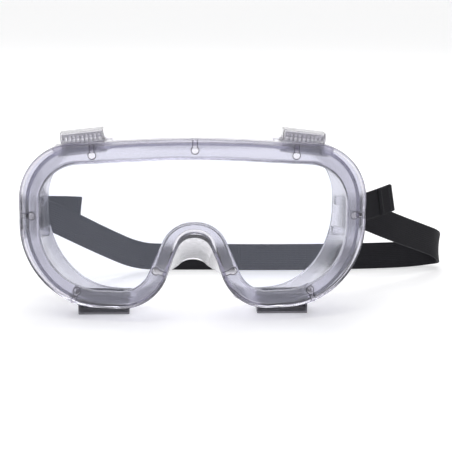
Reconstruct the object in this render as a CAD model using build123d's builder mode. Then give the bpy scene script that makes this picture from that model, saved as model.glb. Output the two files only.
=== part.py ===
from build123d import *
import os
from math import atan2, cos, degrees, radians, sin, sqrt

os.makedirs("parts", exist_ok=True)

# Splash goggles with a soft moulded frame, a clear lens, four indirect vents,
# two swivelling strap buckles and an elastic headband.
# Millimetres. X to the wearer's left, Y from the lens towards the face, Z up.
# Z = 0 is the surface that the goggles stand on.

# Front rim outline, right half, seen from the front
rim_half_width = 86.2
rim_top = 92.2
rim_bottom = 6.5
shoulder_drop = 5.6
crown_radius = 400.0
shoulder_radius = 29.5
jowl_radius = 39.8
nose_foot_x = 19.2
nose_foot_radius = 25.0
nose_arch_x = 6.3
nose_arch_rise = 38.3
nose_arch_radius = 8.2

# Rim band around the lens
rim_band = 9.9
rim_band_bottom = 8.4
nose_band = 5.2
nose_band_side = 3.7
nose_window_x = 11.4
nose_window_radius = 16.5
rim_depth = 5.8
rim_edge_radius = 1.6
lens_wrap_radius = 260.0
rim_front_y = -34.6

# Lens and its groove
lens_thickness = 1.2
lens_side_gap = 0.1
lens_edge_gap = 0.2
rim_outer_wall = 1.9
front_lip = 2.2

# Keyhole pegs that lock the lens in the groove
peg_radius = 1.9
peg_neck_width = 2.2
peg_inset = 6.0
peg_edge_inset = 0.3
top_peg_x = 49.9
side_peg_z = 51.4
low_peg_turn = 20.0
nose_peg_share = 0.46
peg_gap = 0.1
peg_line_width = 0.4
peg_line_depth = 0.6
peg_slot_width = 4.6
peg_slot_depth = 1.5

# Soft body between the rim and the face
body_wall = 1.8
body_inset = 0.5
centre_depth = 31.0
face_reach = 40.0
face_radius = 118.0
face_half_width = 75.0
face_flange = 5.3
face_flange_thickness = 1.6
brow_dip_z = 71.0
brow_corner_z = 87.3
brow_radius = 150.0
face_foot_x = 23.3
face_foot_radius = 20.0
face_arch_x = 3.0
face_arch_rise = -8.1
face_arch_radius = 12.0
nose_relief_half_width = 21.0
nose_relief_height = 48.0

# Vents: site centres and the parts of one vent
top_vent_x = 54.8
top_vent_setback = 25.0
top_vent_drop = 6.0
top_vent_tilt = 6.5
bottom_vent_x = 45.2
bottom_vent_setback = 22.0
top_vent_length = 21.6
bottom_vent_length = 25.8
vent_width = 11.6
vent_height = 6.4
vent_wall = 0.9
vent_gap = 0.3
vent_seat_gap = 0.2
vent_flange = 1.0
vent_flange_lip = 0.5
vent_neck_inset = 1.3
vent_neck_width = 9.2
vent_neck_wall = 1.5
vent_hole_gap = 0.2
vent_inner_lip = 1.0
vent_inner_flange = 1.0
vent_inner_clearance = 6.0
vent_cells = 9
vent_rib = 0.7
pad_margin = 3.5
pad_width = 12.8
pad_thickness = 3.6
cap_slot_height = 1.5
cap_panel_depth = 0.35

# Strap lugs, buckles and pins
lug_reach = 5.2
lug_setback = 3.35
strap_z = 43.3
lug_radius = 2.6
lug_thickness = 4.4
barrel_radius = 2.2
barrel_half_height = 5.9
knuckle_gap = 0.3
pin_radius = 0.8
pin_running_gap = 0.05
buckle_thickness = 2.4
buckle_half_height = 10.0
buckle_rail = 1.3
buckle_web = 4.0
buckle_front_bar = 1.7
middle_bar_setback = 9.4
middle_bar_radius = 1.1
rear_bar_setback = 13.0
rear_bar = 1.6

# Elastic headband
strap_width = 15.5
strap_thickness = 1.2
strap_wrap_radius = 2.0

tall = 120.0
body_length = centre_depth + face_reach
face_plane_y = rim_front_y + body_length
prism_front_y = rim_front_y - 5.0
prism_length = face_plane_y - prism_front_y
lens_axis_y = rim_front_y + lens_wrap_radius
face_axis_y = rim_front_y + centre_depth + face_radius

# Places that follow from the sizes above
top_vent_y = rim_front_y + top_vent_setback
top_vent_z = rim_top - top_vent_drop
bottom_vent_y = rim_front_y + bottom_vent_setback
hinge_x = face_half_width + face_flange + lug_reach
face_side_y = face_axis_y - sqrt(face_radius**2 - face_half_width**2)
hinge_y = face_side_y - lug_setback
buckle_front_y = hinge_y + buckle_web
slot_front_y = buckle_front_y + buckle_front_bar
middle_bar_y = hinge_y + middle_bar_setback
rear_bar_front_y = hinge_y + rear_bar_setback
rear_bar_back_y = rear_bar_front_y + rear_bar


def both_sides(corners):
    """Mirror the right half of an outline, whose first corner is on the centre line."""
    left = [(-x, z, radius) for x, z, radius in reversed(corners[1:])]
    return corners + left


def outline_sketch(corners, y, margin=0.0):
    """Closed outline across the object at depth y, grown outwards by margin."""
    full = both_sides(corners)
    points = [(x, z) for x, z, radius in full]
    corner_radii = [radius for x, z, radius in full]
    with BuildSketch(Plane.XZ.offset(-y)) as sketch:
        with BuildLine():
            FilletPolyline(points, radius=corner_radii, close=True)
        make_face()
        if margin:
            offset(amount=margin)
    return sketch.sketch


def prism(corners, margin=0.0):
    """The outline run straight from in front of the rim to behind the face."""
    with BuildPart() as solid:
        extrude(outline_sketch(corners, prism_front_y, margin), amount=prism_length, dir=(0, 1, 0))
    return solid.part


def upright_ring(axis_y, inner_radius, outer_radius):
    """Upright cylindrical layer about a vertical axis on the centre line."""
    with BuildPart() as ring:
        with BuildSketch(Plane.XY.offset(-10)):
            with Locations((0, axis_y)):
                Circle(outer_radius)
                if inner_radius:
                    Circle(inner_radius, mode=Mode.SUBTRACT)
        extrude(amount=tall)
    return ring.part


def body_loft(margin):
    """Tapered body from the rim outline to the face outline."""
    with BuildPart() as solid:
        add(outline_sketch(rim_corners, rim_front_y, margin - body_inset))
        add(outline_sketch(face_corners, face_plane_y, margin))
        loft(ruled=True)
    return solid.part


rim_corners = [
    (0, rim_top, crown_radius),
    (rim_half_width, rim_top - shoulder_drop, shoulder_radius),
    (rim_half_width, rim_bottom, jowl_radius),
    (nose_foot_x, rim_bottom, nose_foot_radius),
    (nose_arch_x, rim_bottom + nose_arch_rise, nose_arch_radius),
]
window_corners = [
    (0, rim_top - rim_band, crown_radius),
    (rim_half_width - rim_band, rim_top - shoulder_drop - rim_band, shoulder_radius - rim_band + 2),
    (rim_half_width - rim_band, rim_bottom + rim_band_bottom, jowl_radius - rim_band),
    (nose_foot_x + 2 * nose_band_side, rim_bottom + rim_band_bottom, nose_foot_radius - rim_band),
    (nose_window_x, rim_bottom + nose_arch_rise + nose_band, nose_window_radius),
]
body_bottom = rim_bottom + body_inset
face_corners = [
    (0, brow_dip_z, brow_radius),
    (face_half_width, brow_corner_z, shoulder_radius),
    (face_half_width, body_bottom, jowl_radius),
    (face_foot_x, body_bottom, face_foot_radius),
    (face_arch_x, body_bottom + face_arch_rise, face_arch_radius),
]

# Layers of the rim, measured as radii about the lens axis
front_radius = lens_wrap_radius
pocket_outer_radius = front_radius - front_lip
pocket_inner_radius = pocket_outer_radius - lens_thickness - 2 * lens_side_gap
back_radius = front_radius - rim_depth

# Keyhole pegs: position on the rim's outer edge and the direction of its inward normal
low_peg_x = rim_half_width - jowl_radius + jowl_radius * sin(radians(low_peg_turn))
low_peg_z = rim_bottom + jowl_radius * (1 - cos(radians(low_peg_turn))) + peg_edge_inset
nose_peg_x = nose_foot_x + nose_peg_share * (nose_arch_x - nose_foot_x)
nose_peg_turn = degrees(atan2(nose_foot_x - nose_arch_x, nose_arch_rise))
peg_sites = [
    (0.0, rim_top - peg_edge_inset, -90.0),
    (top_peg_x, rim_top - shoulder_drop * top_peg_x / rim_half_width - peg_edge_inset, -92.0),
    (rim_half_width, side_peg_z, 180.0),
    (low_peg_x, low_peg_z, 90.0 + low_peg_turn),
    (nose_peg_x, rim_bottom + nose_peg_share * nose_arch_rise, nose_peg_turn),
]


def peg_outline(x, z, angle, grow):
    """Keyhole: a neck from the rim's outer wall and a round end towards the window."""
    reach = peg_inset
    direction = (cos(radians(angle)), sin(radians(angle)))
    with BuildSketch(Plane.XZ.offset(-prism_front_y)) as sketch:
        with Locations((x + reach * direction[0], z + reach * direction[1])):
            Circle(peg_radius + grow)
        middle = (x + reach / 2 * direction[0], z + reach / 2 * direction[1])
        with Locations(Location((middle[0], middle[1], 0), (0, 0, angle))):
            Rectangle(reach, peg_neck_width + 2 * grow)
    return sketch.sketch


def peg_prisms(grow):
    """All nine keyholes as long prisms through the rim."""
    with BuildPart() as pegs:
        for x, z, angle in peg_sites:
            extrude(peg_outline(x, z, angle, grow), amount=prism_length, dir=(0, 1, 0))
            if x:
                extrude(peg_outline(-x, z, 180 - angle, grow), amount=prism_length, dir=(0, 1, 0))
    return pegs.part


def peg_slots():
    """Short slot in the rim's outer edge at the foot of each keyhole."""
    with BuildPart() as slots:
        for x, z, angle in peg_sites:
            for side in (-1, 1) if x else (1,):
                turn = angle if side > 0 else 180 - angle
                with BuildSketch(Plane.XZ.offset(-prism_front_y)) as sketch:
                    with Locations(Location((side * x, z, 0), (0, 0, turn))):
                        Rectangle(2 * peg_slot_depth, peg_slot_width)
                extrude(sketch.sketch, amount=prism_length, dir=(0, 1, 0))
    return slots.part


# Vent sites: a plane on the pad face, normal pointing out of the body
tilt = radians(top_vent_tilt)
bottom_vent_z = vent_height
vent_planes = {
    "top_left": Plane(
        (-top_vent_x, top_vent_y, top_vent_z), (cos(tilt), 0, sin(tilt)), (-sin(tilt), 0, cos(tilt))
    ),
    "top_right": Plane(
        (top_vent_x, top_vent_y, top_vent_z), (cos(tilt), 0, -sin(tilt)), (sin(tilt), 0, cos(tilt))
    ),
    "bottom_left": Plane((-bottom_vent_x, bottom_vent_y, bottom_vent_z), (1, 0, 0), (0, 0, -1)),
    "bottom_right": Plane((bottom_vent_x, bottom_vent_y, bottom_vent_z), (1, 0, 0), (0, 0, -1)),
}

vent_lengths = {
    "top_left": top_vent_length,
    "top_right": top_vent_length,
    "bottom_left": bottom_vent_length,
    "bottom_right": bottom_vent_length,
}
vent_inner_width = pad_width - 1.0

# Private solids that shape the frame
rim_prism = prism(rim_corners)
window_prism = prism(window_corners)
rim_layer = upright_ring(lens_axis_y, back_radius, front_radius)
pocket_layer = upright_ring(lens_axis_y, pocket_inner_radius, pocket_outer_radius)
pocket_prism = prism(rim_corners, -rim_outer_wall)
body_zone = upright_ring(lens_axis_y, 0, back_radius + 0.4)
head_zone = upright_ring(face_axis_y, 0, face_radius)
flange_layer = upright_ring(face_axis_y, face_radius, face_radius + face_flange_thickness)
body_outer = body_loft(0)
body_inner = body_loft(-body_wall)
flange_outer = body_loft(face_flange)
peg_solids = peg_prisms(0)
peg_line_layer = upright_ring(lens_axis_y, front_radius - peg_line_depth, front_radius)

with BuildPart() as rim:
    add(rim_prism)
    add(rim_layer, mode=Mode.INTERSECT)
    add(window_prism, mode=Mode.SUBTRACT)
    front_face = rim.faces().filter_by(GeomType.CYLINDER).sort_by(SortBy.AREA)[-1]
    fillet(front_face.edges(), rim_edge_radius)

with BuildPart() as lens_pocket:
    add(pocket_prism)
    add(pocket_layer, mode=Mode.INTERSECT)
    add(peg_solids, mode=Mode.SUBTRACT)

with BuildPart() as peg_lines:
    add(peg_prisms(peg_line_width / 2))
    add(peg_prisms(-peg_line_width / 2), mode=Mode.SUBTRACT)
    add(peg_line_layer, mode=Mode.INTERSECT)

with BuildPart() as slot_cuts:
    add(peg_slots())
    add(pocket_layer, mode=Mode.INTERSECT)

with BuildPart() as body_shell:
    add(body_outer)
    add(body_inner, mode=Mode.SUBTRACT)
    add(body_zone, mode=Mode.INTERSECT)
    add(head_zone, mode=Mode.SUBTRACT)

with BuildPart() as face_lip:
    add(flange_outer)
    add(body_inner, mode=Mode.SUBTRACT)
    add(flange_layer, mode=Mode.INTERSECT)
    with BuildSketch(Plane.XZ.offset(-prism_front_y)):
        Rectangle(2 * nose_relief_half_width, 2 * nose_relief_height)
    extrude(amount=-prism_length, mode=Mode.SUBTRACT)

with BuildPart() as frame:
    add(rim.part)
    add(body_shell.part)
    add(face_lip.part)
    for place, site in vent_planes.items():
        with BuildSketch(site):
            Rectangle(vent_lengths[place] + 2 * pad_margin, pad_width)
        extrude(amount=-pad_thickness)
    for place, site in vent_planes.items():
        length = vent_lengths[place]
        with BuildSketch(site):
            Rectangle(length + 2 * pad_margin, pad_width)
        extrude(amount=vent_height, mode=Mode.SUBTRACT)
        with BuildSketch(site):
            Rectangle(length - 2 * vent_neck_inset + 2 * vent_hole_gap, vent_neck_width + 2 * vent_hole_gap)
        extrude(amount=-pad_thickness, mode=Mode.SUBTRACT)
        with BuildSketch(site.offset(-pad_thickness)):
            Rectangle(length + 2 * vent_inner_lip + 2 * vent_gap, vent_inner_width + 2 * vent_gap)
        extrude(amount=-vent_inner_clearance, mode=Mode.SUBTRACT)
    for side in (-1, 1):
        for bottom_z in (
            strap_z + barrel_half_height + knuckle_gap,
            strap_z - barrel_half_height - knuckle_gap - lug_thickness,
        ):
            with BuildSketch(Plane.XY.offset(bottom_z)):
                with Locations((side * hinge_x, hinge_y)):
                    Circle(lug_radius)
                with Locations((side * (hinge_x + face_half_width + 1) / 2, hinge_y)):
                    Rectangle(hinge_x - face_half_width - 1, 2 * lug_radius)
                with Locations((side * hinge_x, hinge_y)):
                    Circle(pin_radius, mode=Mode.SUBTRACT)
            extrude(amount=lug_thickness)
    add(lens_pocket.part, mode=Mode.SUBTRACT)
    add(peg_lines.part, mode=Mode.SUBTRACT)
    add(slot_cuts.part, mode=Mode.SUBTRACT)
frame.part.label = "goggle_frame"
export_step(frame.part, "parts/goggle_frame.step")

# Lens: a wrapped sheet with nine keyhole notches
with BuildPart() as lens:
    add(prism(rim_corners, -rim_outer_wall - lens_edge_gap))
    add(
        upright_ring(
            lens_axis_y,
            pocket_inner_radius + lens_side_gap,
            pocket_outer_radius - lens_side_gap,
        ),
        mode=Mode.INTERSECT,
    )
    add(peg_prisms(peg_gap), mode=Mode.SUBTRACT)
lens.part.label = "lens"
export_step(lens.part, "parts/lens.step")


def vent_block(site, length, width, low, high, mode=Mode.ADD):
    """Block centred on a vent site, from height low to high along its normal."""
    with BuildSketch(site.offset(low)) as block:
        Rectangle(length, width)
    extrude(block.sketch, amount=high - low, mode=mode)


cap_low = vent_flange + vent_seat_gap
cap_inner_width = vent_width - 2 * vent_wall
cap_inner_high = vent_height - vent_wall
baffle_width = cap_inner_width - 2 * vent_gap
baffle_high = cap_inner_high - vent_gap
flange_width = vent_width + 2 * vent_flange_lip

for place, site in vent_planes.items():
    length = vent_lengths[place]
    neck_length = length - 2 * vent_neck_inset
    cap_inner_length = length - 2 * vent_wall
    cell_pitch = cap_inner_length / vent_cells
    baffle_length = cap_inner_length - 2 * vent_gap

    # Base: outer flange, neck through the body and inner snap flange
    with BuildPart() as vent_base:
        vent_block(site, length + 2 * vent_flange_lip, flange_width, 0, vent_flange)
        vent_block(site, neck_length, vent_neck_width, -pad_thickness, 0)
        vent_block(
            site,
            length + 2 * vent_inner_lip,
            vent_inner_width,
            -pad_thickness - vent_inner_flange,
            -pad_thickness,
        )
        vent_block(
            site,
            neck_length - 2 * vent_neck_wall,
            vent_neck_width - 2 * vent_neck_wall,
            -pad_thickness - vent_inner_flange,
            vent_flange,
            Mode.SUBTRACT,
        )
    vent_base.part.label = f"vent_base_{place}"
    export_step(vent_base.part, f"parts/vent_base_{place}.step")

    # Baffle: a plate over the neck, held up by ribs that leave a row of open cells
    with BuildPart() as vent_baffle:
        vent_block(site, baffle_length, baffle_width, baffle_high - vent_rib, baffle_high)
        for index in range(vent_cells + 1):
            rib_x = (index - vent_cells / 2) * (baffle_length - vent_rib) / vent_cells
            with BuildSketch(site.offset(vent_flange)):
                with Locations((rib_x, 0)):
                    Rectangle(vent_rib, baffle_width)
            extrude(amount=baffle_high - vent_flange)
    vent_baffle.part.label = f"vent_baffle_{place}"
    export_step(vent_baffle.part, f"parts/vent_baffle_{place}.step")

    # Cap: a clear cover with air slots along its lower edges and panels above them
    with BuildPart() as vent_cap:
        vent_block(site, length, vent_width, cap_low, vent_height)
        fillet(vent_cap.edges().filter_by(Axis(site.origin, site.z_dir)), vent_wall)
        vent_block(site, cap_inner_length, cap_inner_width, cap_low, cap_inner_high, Mode.SUBTRACT)
        for index in range(vent_cells):
            slot_x = (index - (vent_cells - 1) / 2) * cell_pitch
            with BuildSketch(site.offset(cap_low)):
                with Locations((slot_x, 0)):
                    Rectangle(cell_pitch - vent_rib, vent_width + 1)
            extrude(amount=cap_slot_height, mode=Mode.SUBTRACT)
            with BuildSketch(site.offset(cap_low + cap_slot_height + vent_rib)):
                for edge in (-1, 1):
                    with Locations((slot_x, edge * vent_width / 2)):
                        Rectangle(cell_pitch - vent_rib, 2 * cap_panel_depth)
            extrude(amount=vent_height - cap_low - cap_slot_height - 2 * vent_rib, mode=Mode.SUBTRACT)
    vent_cap.part.label = f"vent_cap_{place}"
    export_step(vent_cap.part, f"parts/vent_cap_{place}.step")

# Strap buckles: a hinge barrel, a ladder of two slots, a round middle bar and a rear bar
for side, word in ((-1, "left"), (1, "right")):
    axis_x = side * hinge_x
    slot_half = buckle_half_height - buckle_rail
    with BuildPart() as buckle:
        with BuildSketch(Plane.XY.offset(strap_z - barrel_half_height)):
            with Locations((axis_x, hinge_y)):
                Circle(barrel_radius)
            with Locations((axis_x, (hinge_y + buckle_front_y) / 2)):
                Rectangle(buckle_thickness, buckle_front_y - hinge_y)
        extrude(amount=2 * barrel_half_height)
        with BuildSketch(Plane.XY.offset(strap_z - buckle_half_height)):
            with Locations((axis_x, (buckle_front_y + rear_bar_back_y) / 2)):
                Rectangle(buckle_thickness, rear_bar_back_y - buckle_front_y)
        extrude(amount=2 * buckle_half_height)
        with BuildSketch(Plane.XY.offset(strap_z - slot_half)):
            with Locations((axis_x, (slot_front_y + rear_bar_front_y) / 2)):
                Rectangle(2 * buckle_thickness, rear_bar_front_y - slot_front_y)
        extrude(amount=2 * slot_half, mode=Mode.SUBTRACT)
        with BuildSketch(Plane.XY.offset(strap_z - slot_half - 0.5)):
            with Locations((axis_x, middle_bar_y)):
                Circle(middle_bar_radius)
        extrude(amount=2 * slot_half + 1)
        with BuildSketch(Plane.XY.offset(strap_z - barrel_half_height)):
            with Locations((axis_x, hinge_y)):
                Circle(pin_radius + pin_running_gap)
        extrude(amount=2 * barrel_half_height, mode=Mode.SUBTRACT)
    buckle.part.label = f"strap_buckle_{word}"
    export_step(buckle.part, f"parts/strap_buckle_{word}.step")

    # Hinge pin, pressed into both knuckles of the lug
    pin_length = 2 * (barrel_half_height + knuckle_gap + lug_thickness)
    with BuildPart() as pin:
        with BuildSketch(Plane.XY.offset(strap_z - pin_length / 2)):
            with Locations((axis_x, hinge_y)):
                Circle(pin_radius)
        extrude(amount=pin_length)
    pin.part.label = f"buckle_pin_{word}"
    export_step(pin.part, f"parts/buckle_pin_{word}.step")

# Headband: one flat elastic strap on edge. It folds round the middle bar of each
# buckle, passes both sides of the rear bar and lies in a loop behind the goggles.
# The tail of each end lies on the outside of the loop. Each stretch is the strap's
# line seen from above, kept between its edges as seen from the front or the side.
layer_gap = middle_bar_radius + strap_thickness / 2 + 0.4
wrap_y = middle_bar_y - layer_gap
behind_bar_y = rear_bar_back_y + strap_thickness / 2 + 1.1
inner_x = hinge_x - layer_gap
outer_x = hinge_x + layer_gap
on_floor = strap_width / 2 + 0.1


def strap_stretch(plan, plan_radii, side_view, side_radii, side_plane):
    """One stretch of the strap: its line from above, between its upper and lower edges."""
    with BuildSketch(Plane.XY) as footprint:
        with BuildLine() as plan_line:
            FilletPolyline(plan, radius=plan_radii)
        trace(plan_line.line, strap_thickness)
    upper = [(across, z + strap_width / 2) for across, z in side_view]
    lower = [(across, z - strap_width / 2) for across, z in side_view]
    with BuildSketch(side_plane) as profile:
        with BuildLine():
            FilletPolyline(upper, radius=side_radii)
            FilletPolyline(lower, radius=side_radii)
            Line(upper[0], lower[0])
            Line(upper[-1], lower[-1])
        make_face()
    with BuildPart() as stretch:
        extrude(footprint.sketch, amount=tall, dir=(0, 0, 1))
        extrude(profile.sketch, amount=2 * tall, both=True, mode=Mode.INTERSECT)
    lengths.append(sum(edge.length for edge in plan_line.edges()))
    return stretch.part


lengths = []
left_end = strap_stretch(
    [
        (-60.0, 48.2),
        (-70.5, 43.3),
        (-outer_x, behind_bar_y),
        (-outer_x, wrap_y),
        (-inner_x, wrap_y),
        (-inner_x, middle_bar_y + 2),
    ],
    [60.0, 1.8, strap_wrap_radius, strap_wrap_radius],
    [(-55.0, strap_z - 3.2), (-78.5, strap_z), (-95.0, strap_z)],
    [60.0],
    Plane.XZ,
)
long_run = strap_stretch(
    [
        (-inner_x, middle_bar_y + 2),
        (-inner_x, rear_bar_back_y - 1),
        (-62.5, 42.9),
        (-45.0, 58.4),
        (-31.0, 72.4),
        (-6.0, 76.9),
        (35.0, 74.9),
        (78.0, 75.9),
        (114.0, 80.4),
        (135.5, 85.4),
    ],
    [1.5, 30.0, 100.0, 30.0, 100.0, 400.0, 300.0, 150.0],
    [
        (-95.0, strap_z),
        (-80.0, strap_z),
        (-63.0, 32.0),
        (-45.5, 19.6),
        (-26.0, on_floor),
        (150.0, on_floor),
    ],
    [15.0, 100.0, 60.0, 40.0],
    Plane.XZ,
)
fold = strap_stretch(
    [(135.5, 85.4), (147.0, 87.9), (148.0, 75.4), (139.5, 69.86)],
    [5.5, 7.0],
    [(95.0, on_floor), (85.9, on_floor), (69.86, 23.4), (58.7, 31.0)],
    [10.0, 30.0],
    Plane.YZ,
)
return_run = strap_stretch(
    [
        (139.5, 69.86),
        (114.0, 52.9),
        (97.0, 43.7),
        (inner_x, behind_bar_y),
        (inner_x, middle_bar_y + 2),
    ],
    [100.0, 60.0, 1.8],
    [(154.5, 18.5), (114.0, 32.0), (89.5, strap_z), (75.0, strap_z)],
    [200.0, 15.0],
    Plane.XZ,
)
right_end = strap_stretch(
    [
        (inner_x, middle_bar_y + 2),
        (inner_x, wrap_y),
        (outer_x, wrap_y),
        (outer_x, rear_bar_front_y - 0.7),
        (97.0, 38.3),
        (112.5, 47.0),
    ],
    [strap_wrap_radius, strap_wrap_radius, 2.5, 40.0],
    [(75.0, strap_z), (90.0, strap_z), (120.0, strap_z + 7.0)],
    [30.0],
    Plane.XZ,
)
with BuildPart() as headband:
    for stretch in (left_end, long_run, fold, return_run, right_end):
        add(stretch)
headband.part.label = "headband"
export_step(headband.part, "parts/headband.step")
print("strap length seen from above", round(sum(lengths), 1))
print("strap volume", round(headband.part.volume, 1), round(sum(lengths) * strap_width * strap_thickness, 1))
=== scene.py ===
import math

import bmesh
import bpy
from mathutils import Matrix, Quaternion, Vector


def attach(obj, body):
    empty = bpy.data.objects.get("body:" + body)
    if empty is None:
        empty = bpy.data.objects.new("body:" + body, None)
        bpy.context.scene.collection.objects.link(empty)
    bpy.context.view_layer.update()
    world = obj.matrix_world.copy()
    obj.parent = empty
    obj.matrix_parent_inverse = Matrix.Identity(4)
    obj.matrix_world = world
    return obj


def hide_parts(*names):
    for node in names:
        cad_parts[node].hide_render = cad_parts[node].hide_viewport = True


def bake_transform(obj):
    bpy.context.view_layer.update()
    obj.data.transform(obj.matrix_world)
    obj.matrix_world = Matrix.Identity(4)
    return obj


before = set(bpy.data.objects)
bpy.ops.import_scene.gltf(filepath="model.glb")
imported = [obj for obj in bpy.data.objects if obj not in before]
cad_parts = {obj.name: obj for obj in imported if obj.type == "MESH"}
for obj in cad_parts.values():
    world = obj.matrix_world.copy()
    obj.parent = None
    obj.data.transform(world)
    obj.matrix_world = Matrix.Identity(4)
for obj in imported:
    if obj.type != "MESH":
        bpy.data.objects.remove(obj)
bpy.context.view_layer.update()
print("frame loaded")

# camera, floor and lights

camera = {"stand": (-0.020, -0.6343, 0.1715), "aim": (0.0152, -0.0346, 0.0488), "lens": 100.2, "roll": 0.5}
studio = {
    "floorRadius": 8.0,
    "floorColor": (0.80, 0.80, 0.815),
    "floorGlow": (0.40, 0.60),  # near the goggles and far behind them
    "behind": 1.05,  # white wall behind the goggles
    "front": 0.12,  # dim room behind the camera
    "side": 0.03,  # dark flags left and right
}


lampTarget = (0, 0, 0.04)
lamps = {
    "overheadSoftbox": {"place": (-0.15, -0.1, 1.5), "size": 1.3, "watts": 13},
    "backSoftbox": {"place": (0.3, 1.1, 1.2), "size": 1.0, "watts": 6},
}


def aimAt(obj, target):
    way = Vector(target) - obj.location
    obj.rotation_euler = way.to_track_quat("-Z", "Y").to_euler()


def makeCamera(spec):
    data = bpy.data.cameras.new("camera")
    data.lens = spec["lens"]
    data.clip_start = 0.01
    obj = bpy.data.objects.new("camera", data)
    bpy.context.collection.objects.link(obj)
    obj.location = spec["stand"]
    aimAt(obj, spec["aim"])
    upright = obj.rotation_euler.to_quaternion()
    obj.rotation_euler = (upright @ Quaternion((0, 0, 1), math.radians(spec["roll"]))).to_euler()
    bpy.context.scene.camera = obj


def makeLamp(name, spec):
    data = bpy.data.lights.new(name, "AREA")
    data.shape = "DISK"
    data.size = spec["size"]
    data.energy = spec["watts"]
    obj = bpy.data.objects.new(name, data)
    bpy.context.collection.objects.link(obj)
    obj.location = spec["place"]
    aimAt(obj, lampTarget)


def meshObject(name, bm):
    mesh = bpy.data.meshes.new(name)
    bm.to_mesh(mesh)
    bm.free()
    obj = bpy.data.objects.new(name, mesh)
    bpy.context.collection.objects.link(obj)
    return obj


def newMaterial(name):
    mat = bpy.data.materials.new(name)
    mat.use_nodes = True
    nodes = mat.node_tree.nodes
    return mat, nodes, mat.node_tree.links, nodes["Principled BSDF"]


def setInputs(node, values):
    for key, value in values.items():
        node.inputs[key].default_value = value


def makeFloor(spec):
    bm = bmesh.new()
    bmesh.ops.create_circle(bm, cap_ends=True, segments=96, radius=spec["floorRadius"])
    floor = meshObject("floor", bm)
    mat, nodes, links, shader = newMaterial("paleFloor")
    setInputs(shader, {
        "Base Color": (*spec["floorColor"], 1),
        "Roughness": 0.55,
        "Specular IOR Level": 0.2,
        "Emission Color": (1, 1, 1, 1),
    })
    coord = nodes.new("ShaderNodeTexCoord")
    split = nodes.new("ShaderNodeSeparateXYZ")
    links.new(coord.outputs["Object"], split.inputs[0])
    far = nodes.new("ShaderNodeMapRange")  # the floor fades into the white wall
    far.interpolation_type = "SMOOTHSTEP"
    near, wide = spec["floorGlow"]
    setInputs(far, {"From Min": 0.12, "From Max": 0.8, "To Min": near, "To Max": wide})
    links.new(split.outputs["Y"], far.inputs["Value"])
    links.new(far.outputs[0], shader.inputs["Emission Strength"])
    floor.data.materials.append(mat)


def makeSky(spec):
    world = bpy.data.worlds.new("softWhite")
    world.use_nodes = True
    bpy.context.scene.world = world
    nodes = world.node_tree.nodes
    links = world.node_tree.links
    back = nodes["Background"]
    back.inputs["Color"].default_value = (1, 1, 1, 1)
    coord = nodes.new("ShaderNodeTexCoord")
    split = nodes.new("ShaderNodeSeparateXYZ")
    links.new(coord.outputs["Generated"], split.inputs[0])
    depth = nodes.new("ShaderNodeMapRange")  # dim behind the camera, white behind the goggles
    depth.interpolation_type = "SMOOTHSTEP"
    setInputs(depth, {"From Min": -0.6, "From Max": 0.7, "To Min": spec["front"], "To Max": spec["behind"]})
    links.new(split.outputs["Y"], depth.inputs["Value"])
    across = nodes.new("ShaderNodeMath")
    across.operation = "ABSOLUTE"
    links.new(split.outputs["X"], across.inputs[0])
    flags = nodes.new("ShaderNodeMapRange")
    flags.interpolation_type = "SMOOTHSTEP"
    setInputs(flags, {"From Min": 0.28, "From Max": 0.58, "To Min": 1.0, "To Max": spec["side"]})
    links.new(across.outputs[0], flags.inputs["Value"])
    both = nodes.new("ShaderNodeMath")
    both.operation = "MULTIPLY"
    links.new(depth.outputs[0], both.inputs[0])
    links.new(flags.outputs[0], both.inputs[1])
    links.new(both.outputs[0], back.inputs["Strength"])


makeCamera(camera)
makeFloor(studio)
makeSky(studio)
for name, spec in lamps.items():
    makeLamp(name, spec)
bpy.context.scene.view_settings.view_transform = "Standard"
print("studio ready")


# headband

headband = {
    "width": 0.0155,
    "thickness": 0.0012,
    "ribs": 13,
    "ribHeight": 0.00012,
    "rowStep": 0.0011,
    "splitX": 0.030,  # the two halves meet here, in the run behind the goggles
    "hemLength": 0.011,
    "hemThickness": 0.0010,
    "hemNarrower": 0.0002,  # so that the hem's edges lie inside the strap's
    "hemSink": 0.00005,
    "stitchesPerRow": 10,
    "stitchSink": 0.00008,
    "stitchMargin": 0.002,
    "bends": {  # places on the strap near each buckle, where the real strap gives as a buckle swings
        "left": ((-0.033, 0.0715, 0.023), (-0.0765, 0.0370, 0.0390)),
        "right": ((0.115, 0.066, 0.033), (0.115, 0.036, 0.033)),
    },
    "route": [
        (-0.0600, 0.0482, 0.0408), (-0.0705, 0.0433, 0.0422), (-0.0825, 0.0378, 0.0432),
        (-0.0874, 0.0364, 0.0433), (-0.0877, 0.0330, 0.0433), (-0.0877, 0.0271, 0.0433),
        (-0.0833, 0.0271, 0.0433), (-0.0832, 0.0315, 0.0433), (-0.0828, 0.0338, 0.0430),
        (-0.0745, 0.0374, 0.0397), (-0.0625, 0.0429, 0.0322), (-0.0450, 0.0584, 0.0198),
        (-0.0295, 0.0727, 0.0097), (-0.0140, 0.0767, 0.00795), (0.0100, 0.0767, 0.00795),
        (0.0350, 0.0749, 0.00795), (0.0780, 0.0750, 0.00795), (0.1140, 0.0775, 0.00795),
        (0.1340, 0.0820, 0.00795), (0.1443, 0.0862, 0.0083), (0.1474, 0.0806, 0.0108),
        (0.1444, 0.0734, 0.0160), (0.1356, 0.0672, 0.0202), (0.1130, 0.0529, 0.0305),
        (0.0970, 0.0437, 0.0385), (0.0870, 0.0383, 0.0427), (0.0833, 0.0355, 0.0433),
        (0.0832, 0.0320, 0.0433), (0.0832, 0.0271, 0.0433), (0.0877, 0.0271, 0.0433),
        (0.0877, 0.0310, 0.0433), (0.0886, 0.0333, 0.0433), (0.0970, 0.0383, 0.0448),
        (0.1050, 0.0428, 0.0465), (0.1118, 0.0468, 0.0482),
    ],
}


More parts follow.
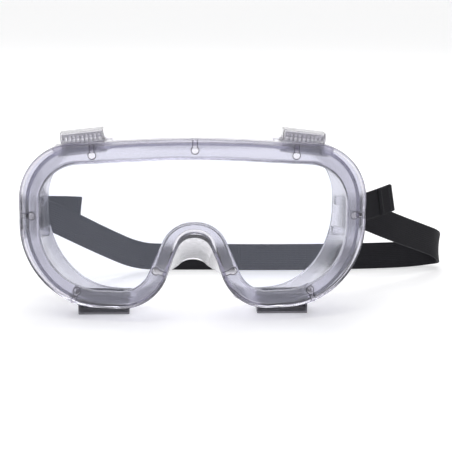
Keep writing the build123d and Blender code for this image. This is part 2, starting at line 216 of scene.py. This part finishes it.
def smoothRoute(points):  # the points of a smooth line that those points steer
    curve = bpy.data.curves.new("strapRoute", "CURVE")
    curve.dimensions = "3D"
    spline = curve.splines.new("NURBS")
    spline.points.add(len(points) - 1)
    for place, point in zip(points, spline.points):
        point.co = (*place, 1)
    spline.order_u = 3
    spline.use_endpoint_u = True
    curve.resolution_u = 12
    obj = bpy.data.objects.new("strapRoute", curve)
    bpy.context.collection.objects.link(obj)
    line = bpy.data.meshes.new_from_object(obj)
    found = [v.co.copy() for v in line.vertices]
    bpy.data.objects.remove(obj)
    bpy.data.curves.remove(curve)
    bpy.data.meshes.remove(line)
    return found


def evenSteps(line, step):  # the same line with evenly spaced points
    lengths = [0.0]
    for a, b in zip(line, line[1:]):
        lengths.append(lengths[-1] + (b - a).length)
    count = int(lengths[-1] / step) + 1
    spaced = []
    k = 0
    for i in range(count + 1):
        reach = lengths[-1] * i / count
        while k < len(line) - 2 and lengths[k + 1] < reach:
            k += 1
        part = (reach - lengths[k]) / max(1e-9, lengths[k + 1] - lengths[k])
        spaced.append(line[k].lerp(line[k + 1], min(1.0, max(0.0, part))))
    return spaced, lengths[-1]


def strapFrames(spaced):  # place, across and outward direction at each step
    rows = []
    for i, place in enumerate(spaced):
        ahead = spaced[min(i + 1, len(spaced) - 1)] - spaced[max(i - 1, 0)]
        ahead.normalize()
        up = (Vector((0, 0, 1)) - ahead * ahead.z).normalized()
        rows.append((place, up, ahead.cross(up)))
    return rows


def bandSection(v, width, thickness, ribs, ribHeight):  # flat band with ribs and round edges
    flat = width - thickness
    round_ = math.pi * thickness / 2
    s = v * 2 * (flat + round_)
    half = thickness / 2
    if s < flat:
        a = s - flat / 2
        b = half
    elif s < flat + round_:
        turn = (s - flat) / half
        return flat / 2 + half * math.sin(turn), half * math.cos(turn)
    elif s < 2 * flat + round_:
        a = flat / 2 - (s - flat - round_)
        b = -half
    else:
        turn = (s - 2 * flat - round_) / half
        return -flat / 2 - half * math.sin(turn), -half * math.cos(turn)
    wave = (1 - math.cos(2 * math.pi * ribs * (a / flat + 0.5))) / 2
    return a, b - math.copysign(ribHeight * (1 - wave), b)


def webbing(name, rows, width, thickness, ribs, ribHeight, shift=0.0):
    ring = ribs * 8 + 12
    bm = bmesh.new()
    bm.loops.layers.uv.new("UVMap")
    bmesh.ops.create_grid(bm, x_segments=len(rows) - 1, y_segments=ring, size=0.5, calc_uvs=True)
    for vert in bm.verts:
        place, up, outward = rows[round((vert.co.x + 0.5) * (len(rows) - 1))]
        a, b = bandSection((vert.co.y + 0.5) % 1.0, width, thickness, ribs, ribHeight)
        vert.co = place + up * a + outward * (b + shift)
    bmesh.ops.remove_doubles(bm, verts=bm.verts, dist=1e-6)
    bmesh.ops.holes_fill(bm, edges=[e for e in bm.edges if e.is_boundary])
    bmesh.ops.recalc_face_normals(bm, faces=bm.faces)
    for face in bm.faces:
        face.smooth = len(face.verts) == 4
    return meshObject(name, bm)


def stitchRow(bm, row, sewnWidth, face, count):  # one row of thread across the band
    place, up, outward = row
    along = outward.cross(up)
    for i in range(count):
        a = ((i + 0.5) / count - 0.5) * sewnWidth
        made = bmesh.ops.create_icosphere(bm, subdivisions=1, radius=1.0)
        turn = Matrix((along, up, outward)).transposed().to_4x4()
        shape = Matrix.Diagonal((0.00022, 0.36 * sewnWidth / count, 0.00018, 1))
        move = Matrix.Translation(place + up * a + outward * face)
        bmesh.ops.transform(bm, matrix=move @ turn @ shape, verts=made["verts"])


def makeStitches(name, rows, faces, sewnWidth, count):
    bm = bmesh.new()
    for row in rows:
        for face in faces:
            stitchRow(bm, row, sewnWidth, face, count)
    for face in bm.faces:
        face.smooth = True
    return meshObject(name, bm)


def wovenElastic(name, length):
    mat, nodes, links, shader = newMaterial(name)
    coord = nodes.new("ShaderNodeTexCoord")
    scale = nodes.new("ShaderNodeMapping")
    scale.inputs["Scale"].default_value = (length / 0.0007, 92.0, 1.0)
    links.new(coord.outputs["UV"], scale.inputs["Vector"])
    weft = nodes.new("ShaderNodeTexWave")
    weft.wave_type = "BANDS"
    weft.bands_direction = "X"
    setInputs(weft, {"Scale": 0.31, "Distortion": 1.2, "Detail": 1.0, "Detail Scale": 2.0})
    warp = nodes.new("ShaderNodeTexWave")
    warp.wave_type = "BANDS"
    warp.bands_direction = "Y"
    setInputs(warp, {"Scale": 0.31, "Distortion": 0.6, "Detail": 1.0, "Detail Scale": 2.0})
    fuzz = nodes.new("ShaderNodeTexNoise")
    setInputs(fuzz, {"Scale": 1.7, "Detail": 4.0, "Roughness": 0.7})
    for node in (weft, warp, fuzz):
        links.new(scale.outputs[0], node.inputs["Vector"])
    weave = nodes.new("ShaderNodeMath")
    weave.operation = "MULTIPLY"
    links.new(weft.outputs["Fac"], weave.inputs[0])
    links.new(warp.outputs["Fac"], weave.inputs[1])
    yarn = nodes.new("ShaderNodeMath")
    yarn.operation = "MULTIPLY_ADD"
    yarn.inputs[1].default_value = 0.5
    links.new(fuzz.outputs["Fac"], yarn.inputs[0])
    links.new(weave.outputs[0], yarn.inputs[2])
    shade = nodes.new("ShaderNodeValToRGB")
    stops = shade.color_ramp.elements
    stops[0].position = 0.15
    stops[0].color = (0.006, 0.006, 0.008, 1)
    stops[1].color = (0.034, 0.033, 0.042, 1)
    links.new(yarn.outputs[0], shade.inputs[0])
    links.new(shade.outputs[0], shader.inputs["Base Color"])
    rough = nodes.new("ShaderNodeMapRange")
    setInputs(rough, {"To Min": 0.72, "To Max": 0.92})
    links.new(fuzz.outputs["Fac"], rough.inputs["Value"])
    links.new(rough.outputs[0], shader.inputs["Roughness"])
    bump = nodes.new("ShaderNodeBump")
    setInputs(bump, {"Strength": 0.5, "Distance": 0.00025})
    links.new(yarn.outputs[0], bump.inputs["Height"])
    links.new(bump.outputs[0], shader.inputs["Normal"])
    setInputs(shader, {"Sheen Weight": 0.25, "Sheen Roughness": 0.4, "Specular IOR Level": 0.3})
    return mat


def threadMaterial():
    mat, nodes, links, shader = newMaterial("sewingThread")
    coord = nodes.new("ShaderNodeTexCoord")
    twist = nodes.new("ShaderNodeTexNoise")
    setInputs(twist, {"Scale": 9000.0, "Detail": 2.0})
    links.new(coord.outputs["Object"], twist.inputs["Vector"])
    shade = nodes.new("ShaderNodeValToRGB")
    shade.color_ramp.elements[0].color = (0.015, 0.015, 0.018, 1)
    shade.color_ramp.elements[1].color = (0.07, 0.07, 0.08, 1)
    links.new(twist.outputs["Fac"], shade.inputs[0])
    links.new(shade.outputs[0], shader.inputs["Base Color"])
    setInputs(shader, {"Roughness": 0.55, "Sheen Weight": 0.2})
    return mat


def makeHeadband(spec):
    spaced, length = evenSteps(smoothRoute(spec["route"]), spec["rowStep"])
    rows = strapFrames(spaced)
    behind = [i for i, place in enumerate(spaced) if place.y > 0.06 and place.z < 0.009]
    cut = min(behind, key=lambda i: abs(spaced[i].x - spec["splitX"]))
    band = (spec["width"], spec["thickness"], spec["ribs"], spec["ribHeight"])
    halves = {
        "left": webbing("headbandLeft", rows[:cut + 1], *band),
        "right": webbing("headbandRight", rows[cut:], *band),
    }
    hemRows = int(spec["hemLength"] / spec["rowStep"])
    hemBand = (spec["width"] - spec["hemNarrower"], spec["hemThickness"], spec["ribs"], spec["ribHeight"])
    lift = (spec["thickness"] + spec["hemThickness"]) / 2 - spec["hemSink"]
    ends = {"left": rows[:hemRows + 1], "right": rows[-hemRows - 1:]}
    elastic = {"left": wovenElastic("wovenElasticLeft", length * cut / len(rows)),
               "right": wovenElastic("wovenElasticRight", length * (1 - cut / len(rows)))}
    hemMat = wovenElastic("wovenElasticHem", spec["hemLength"])
    thread = threadMaterial()
    made = {}
    for side in ("left", "right"):
        hem = webbing("headbandHem_" + side, ends[side], *hemBand, shift=lift)
        near = ends[side][2:3] + ends[side][-3:-2]
        faces = (spec["thickness"] / 2 + spec["hemThickness"] - spec["stitchSink"], -spec["thickness"] / 2)
        sewnWidth = spec["width"] - spec["stitchMargin"]
        sewn = makeStitches("hemStitches_" + side, near, faces, sewnWidth, spec["stitchesPerRow"])
        halves[side].data.materials.append(elastic[side])
        hem.data.materials.append(hemMat)
        sewn.data.materials.append(thread)
        made[side] = [halves[side], hem, sewn]
    print("headband length", round(length, 4))
    return made


strapPieces = makeHeadband(headband)
for side, made in strapPieces.items():
    for piece in made:
        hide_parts("headband")
        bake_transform(piece)
print("headband ready")


# soft frame and lens

vinyl = {
    "tint": (0.93, 0.925, 0.95),
    "roughness": 0.13,
    "clearness": 0.98,
    "absorb": (0.50, 0.48, 0.60),
    "density": 75.0,
}
lensClear = {"tint": (0.885, 0.90, 0.955), "index": 1.58, "glare": (0.82, 0.86, 1.0)}
plastics = {
    "clearCap": {"tint": (0.78, 0.77, 0.81), "roughness": 0.10, "clearness": 0.95},
    "clearBaffle": {"tint": (0.88, 0.88, 0.90), "roughness": 0.15, "clearness": 0.85},
    "greyBase": {"tint": (0.62, 0.61, 0.67), "roughness": 0.15, "clearness": 0.90},
    # painted shade: the bottom vent caps are the same clear caps, tinted dark for the shade they sit in
    "smokeCap": {"tint": (0.16, 0.155, 0.18), "roughness": 0.18, "clearness": 0.60},
    "clearBuckle": {"tint": (0.70, 0.72, 0.80), "roughness": 0.10, "clearness": 0.92},
    # painted shade: the dark tint of the keyhole lines, standing in for refraction-darkened edges
    "keyholeEdgeShade": {"tint": (0.14, 0.13, 0.17), "roughness": 0.35, "clearness": 0.35},
}


def letLampsThrough(nodes, links, shader, shade):  # clear plastic does not block the lamps
    path = nodes.new("ShaderNodeLightPath")
    clear = nodes.new("ShaderNodeBsdfTransparent")
    clear.inputs["Color"].default_value = (*shade, 1)
    mix = nodes.new("ShaderNodeMixShader")
    links.new(path.outputs["Is Shadow Ray"], mix.inputs["Fac"])
    links.new(shader.outputs[0], mix.inputs[1])
    links.new(clear.outputs[0], mix.inputs[2])
    links.new(mix.outputs[0], nodes["Material Output"].inputs["Surface"])


def softVinyl(spec):
    mat, nodes, links, shader = newMaterial("softVinyl")
    setInputs(shader, {
        "Base Color": (*spec["tint"], 1),
        "IOR": 1.5,
        "Transmission Weight": spec["clearness"],
    })
    coord = nodes.new("ShaderNodeTexCoord")
    grain = nodes.new("ShaderNodeTexNoise")  # faint moulding haze
    setInputs(grain, {"Scale": 60.0, "Detail": 3.0, "Roughness": 0.6})
    links.new(coord.outputs["Object"], grain.inputs["Vector"])
    haze = nodes.new("ShaderNodeMapRange")
    smoothest = spec["roughness"] - 0.03
    roughest = spec["roughness"] + 0.04
    setInputs(haze, {"From Min": 0.3, "From Max": 0.7, "To Min": smoothest, "To Max": roughest})
    links.new(grain.outputs["Fac"], haze.inputs["Value"])
    links.new(haze.outputs[0], shader.inputs["Roughness"])
    letLampsThrough(nodes, links, shader, (0.66, 0.66, 0.70))
    absorb = nodes.new("ShaderNodeVolumeAbsorption")
    setInputs(absorb, {"Color": (*spec["absorb"], 1), "Density": spec["density"]})
    links.new(absorb.outputs[0], nodes["Material Output"].inputs["Volume"])
    return mat


def clearLens(spec):
    mat, nodes, links, shader = newMaterial("clearLens")
    setInputs(shader, {
        "Base Color": (*spec["tint"], 1),
        "Roughness": 0.0,
        "IOR": spec["index"],
        "Transmission Weight": 1.0,
        "Specular Tint": (*spec["glare"], 1),
    })
    letLampsThrough(nodes, links, shader, (0.92, 0.93, 0.96))
    return mat


def clearPlastic(name):
    spec = plastics[name]
    mat, nodes, links, shader = newMaterial(name)
    setInputs(shader, {
        "Base Color": (*spec["tint"], 1),
        "IOR": 1.49,
        "Transmission Weight": spec["clearness"],
    })
    coord = nodes.new("ShaderNodeTexCoord")
    grain = nodes.new("ShaderNodeTexNoise")
    setInputs(grain, {"Scale": 400.0, "Detail": 2.0})
    links.new(coord.outputs["Object"], grain.inputs["Vector"])
    haze = nodes.new("ShaderNodeMapRange")
    setInputs(haze, {"To Min": spec["roughness"] - 0.05, "To Max": spec["roughness"] + 0.05})
    links.new(grain.outputs["Fac"], haze.inputs["Value"])
    links.new(haze.outputs[0], shader.inputs["Roughness"])
    letLampsThrough(nodes, links, shader, (0.6, 0.6, 0.64))
    return mat


def drawnSteel():
    mat, nodes, links, shader = newMaterial("drawnSteel")
    setInputs(shader, {"Base Color": (0.58, 0.58, 0.6, 1), "Metallic": 1.0})
    coord = nodes.new("ShaderNodeTexCoord")
    stretch = nodes.new("ShaderNodeMapping")
    stretch.inputs["Scale"].default_value = (6000, 6000, 60)
    grain = nodes.new("ShaderNodeTexNoise")
    links.new(coord.outputs["Object"], stretch.inputs["Vector"])
    links.new(stretch.outputs[0], grain.inputs["Vector"])
    haze = nodes.new("ShaderNodeMapRange")
    setInputs(haze, {"To Min": 0.18, "To Max": 0.42})
    links.new(grain.outputs["Fac"], haze.inputs["Value"])
    links.new(haze.outputs[0], shader.inputs["Roughness"])
    return mat


def paint(node, mat):
    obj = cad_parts[node]
    obj.data.materials.clear()
    obj.data.materials.append(mat)


vinylMat = softVinyl(vinyl)
lensMat = clearLens(lensClear)
capMat = clearPlastic("clearCap")
baffleMat = clearPlastic("clearBaffle")
baseMat = clearPlastic("greyBase")
bottomCapShadeMat = clearPlastic("smokeCap")
buckleMat = clearPlastic("clearBuckle")
steelMat = drawnSteel()
paint("goggle_frame", vinylMat)
paint("lens", lensMat)
print("frame and lens ready")


# dark keyhole lines on the rim, painted shade for the keyhole outlines that refraction darkens

keyholes = {
    "sites": [  # across and up on the rim's edge, and the way in, in degrees
        (0.0, 0.0919, -90.0), (0.0499, 0.08866, -92.0), (0.0862, 0.0514, 180.0),
        (0.0600, 0.0092, 110.0), (0.01327, 0.0241, 18.6),
    ],
    "reach": 0.006,
    "round": 0.0019,
    "neck": 0.0011,
    "foot": 0.0009,  # the line starts this far in from the rim's edge
    "bendSteps": 28,
    "line": 0.00019,
    "lineSides": 6,
    "sink": 0.9,  # depth of the line in the rim, as a share of its radius
    "sweep": 0.260,  # the rim's front is part of a cylinder of this radius
    "sweepY": 0.2254,
}


def keyholePath(spec):  # along the way in and across it
    start = math.pi - math.asin(spec["neck"] / spec["round"])
    bend = [start * (1 - 2 * i / spec["bendSteps"]) for i in range(spec["bendSteps"] + 1)]
    arc = [(spec["reach"] + spec["round"] * math.cos(a), spec["round"] * math.sin(a)) for a in bend]
    return [(spec["foot"], spec["neck"]), *arc, (spec["foot"], -spec["neck"])]


def addKeyholeLine(bm, spec, x, z, turn):
    along = Vector((math.cos(turn), 0, math.sin(turn)))
    beside = Vector((-math.sin(turn), 0, math.cos(turn)))
    places = []
    for a, b in keyholePath(spec):
        place = Vector((x, 0, z)) + along * a + beside * b
        front = spec["sweepY"] - math.sqrt(spec["sweep"] ** 2 - place.x ** 2)
        place.y = front + spec["line"] * spec["sink"]
        places.append(place)
    last = None
    sides = spec["lineSides"]
    for i, place in enumerate(places):
        ahead = (places[min(i + 1, len(places) - 1)] - places[max(i - 1, 0)]).normalized()
        out = ahead.cross(Vector((0, 1, 0))).normalized()
        deep = ahead.cross(out)
        ring = []
        for k in range(sides):
            a = math.tau * k / sides
            ring.append(bm.verts.new(place + (out * math.cos(a) + deep * math.sin(a)) * spec["line"]))
        if last:
            for k in range(sides):
                bm.faces.new((last[k], last[k + 1 - sides], ring[k + 1 - sides], ring[k]))
        else:
            bm.faces.new(ring[::-1])
        last = ring
    bm.faces.new(last)


def makeKeyholes(spec):
    bm = bmesh.new()
    for x, z, degrees in spec["sites"]:
        for side in ((1, -1) if x else (1,)):
            turn = math.radians(degrees if side > 0 else 180 - degrees)
            addKeyholeLine(bm, spec, side * x, z, turn)
    bmesh.ops.recalc_face_normals(bm, faces=bm.faces)
    obj = meshObject("keyholeShadeLines", bm)
    # painted shade: dark lines where refraction darkens the keyhole outlines
    obj.data.materials.append(clearPlastic("keyholeEdgeShade"))
    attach(obj, "goggles")


makeKeyholes(keyholes)
print("keyholes ready")


# vents, buckles and pins

softEdges = {"vent_cap": 0.00018, "vent_base": 0.00015, "vent_baffle": 0.00010, "strap_buckle": 0.00030}
flatAngle = math.radians(1.0)  # faces closer than this are one flat
sharpAngle = math.radians(35)  # edges sharper than this are rounded


def softenedCopy(node, body, width, mat):
    bm = bmesh.new()
    bm.from_mesh(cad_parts[node].data)
    bmesh.ops.remove_doubles(bm, verts=bm.verts, dist=2e-6)
    bmesh.ops.dissolve_limit(bm, angle_limit=flatAngle, verts=bm.verts, edges=bm.edges)
    sharp = [e for e in bm.edges if e.is_manifold and e.calc_face_angle() > sharpAngle]
    bmesh.ops.bevel(bm, geom=sharp, offset=width, offset_type="OFFSET", affect="EDGES", segments=2,
                    profile=0.5, material=-1, clamp_overlap=True)
    for face in bm.faces:
        face.smooth = False
    obj = meshObject(node + "_soft", bm)
    obj.data.materials.append(mat)
    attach(obj, body)
    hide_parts(node)
    return obj


for place in ("top_left", "top_right", "bottom_left", "bottom_right"):
    ventParts = {
        "vent_base": ("goggles", baseMat),
        "vent_baffle": ("goggles", baffleMat),
        "vent_cap": ("cap_" + place, capMat),
    }
    for part, (body, mat) in ventParts.items():
        # the bottom caps get the painted-shade tint, the top caps stay clear
        ventMat = bottomCapShadeMat if place.startswith("bottom") else mat
        softenedCopy(part + "_" + place, body, softEdges[part], ventMat)
for side in ("left", "right"):
    softenedCopy("strap_buckle_" + side, "buckle_" + side, softEdges["strap_buckle"], buckleMat)
    paint("buckle_pin_" + side, steelMat)
print("vents and buckles ready")
